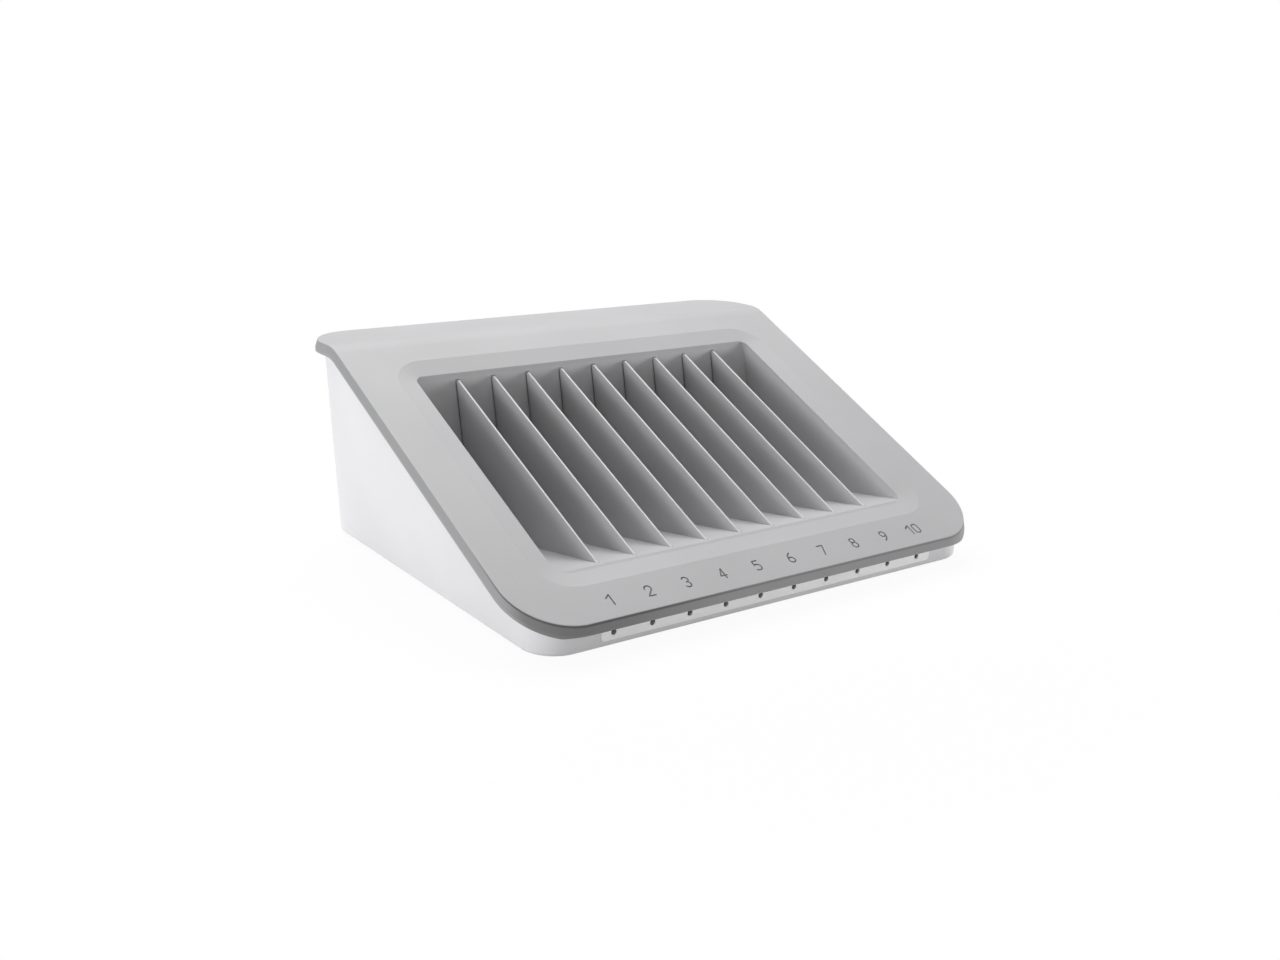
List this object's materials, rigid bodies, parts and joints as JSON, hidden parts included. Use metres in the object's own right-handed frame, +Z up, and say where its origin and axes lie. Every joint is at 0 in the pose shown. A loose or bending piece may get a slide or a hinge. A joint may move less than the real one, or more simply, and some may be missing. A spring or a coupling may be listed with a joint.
{
  "type": "charging station organizer",
  "caption": "Desk-top charging station: a sloped cover over a tapered base, with a row of upright divided slots for tablets and a lamp bar along the front.",
  "frame": {"origin": "on the surface that it stands on, under the middle of the cover", "axes": "+X to the right seen from the front, +Y to the back, +Z up"},
  "size_m": [0.459, 0.381, 0.17],
  "materials": {
    "cover_plastic": "fine satin grain, cool light grey",
    "base_plastic": "fine satin grain, light grey",
    "tray_plastic": "satin light grey",
    "divider_plastic": "satin mid grey",
    "bar_plastic": "satin light grey",
    "smoked_lens": "glossy, smoked",
    "lamp_body": "glossy",
    "board": "satin solder resist",
    "dark_plastic": "fine matt grain",
    "rocker_plastic": "glossy",
    "chip_plastic": "matt",
    "capacitor_sleeve": "satin sleeve",
    "plated_shell": "bright plated",
    "heat_sink_metal": "extruded, clear",
    "sheet_metal": "zinc plated",
    "brass": "bright",
    "lead_sleeve": "matt sleeve",
    "steel": "plated",
    "foot_rubber": "matt"
  },
  "bodies": {
    "station": {"top_cover": "cover_plastic", "base_tub": "base_plastic", "slot_tray": "tray_plastic", "cable_comb": "tray_plastic", "light_bar": "bar_plastic", "led_lenses": "smoked_lens", "led_chips": "lamp_body", "led_board": "board", "hub_board": "board", "supply_board": "board", "hub_case": "dark_plastic", "hub_lid": "dark_plastic", "lead_clips": "dark_plastic", "power_inlet": "dark_plastic", "switch_housing": "dark_plastic", "port_controllers": "chip_plastic", "supply_transformer": "chip_plastic", "supply_capacitors": "capacitor_sleeve", "usb_ports": "plated_shell", "hub_heat_sink": "heat_sink_metal", "supply_chassis": "sheet_metal", "supply_cover": "sheet_metal", "inlet_blades": "brass", "switch_tabs": "brass", "mains_leads": "lead_sleeve", "dc_lead": "lead_sleeve", "led_lead": "lead_sleeve", "cover_screws": "steel", "tray_screws": "steel", "hub_screws": "steel", "supply_screws": "steel", "inlet_screws": "steel", "comb_screws": "steel", "divider_1": "divider_plastic", "divider_2": "divider_plastic", "divider_3": "divider_plastic", "divider_4": "divider_plastic", "divider_5": "divider_plastic", "divider_6": "divider_plastic", "divider_7": "divider_plastic", "divider_8": "divider_plastic", "divider_9": "divider_plastic", "foot_front_left": "foot_rubber", "foot_front_right": "foot_rubber", "foot_rear_left": "foot_rubber", "foot_rear_right": "foot_rubber"},
    "door": {"rear_door": "base_plastic", "door_pins": "steel"},
    "rocker": {"switch_rocker": "rocker_plastic", "rocker_pin": "steel"}
  },
  "joints": [
    {"name": "door_hinge", "type": "hinge", "parent": "station", "child": "door", "pos_m": [0.04, 0.17584, 0.01791], "axis": [-1, 0, 0], "range_deg": [0, 90]},
    {"name": "rocker_hinge", "type": "hinge", "parent": "station", "child": "rocker", "pos_m": [-0.108, 0.18086, 0.07472], "axis": [1, 0, 0], "range_deg": [0, 20]}
  ]
}
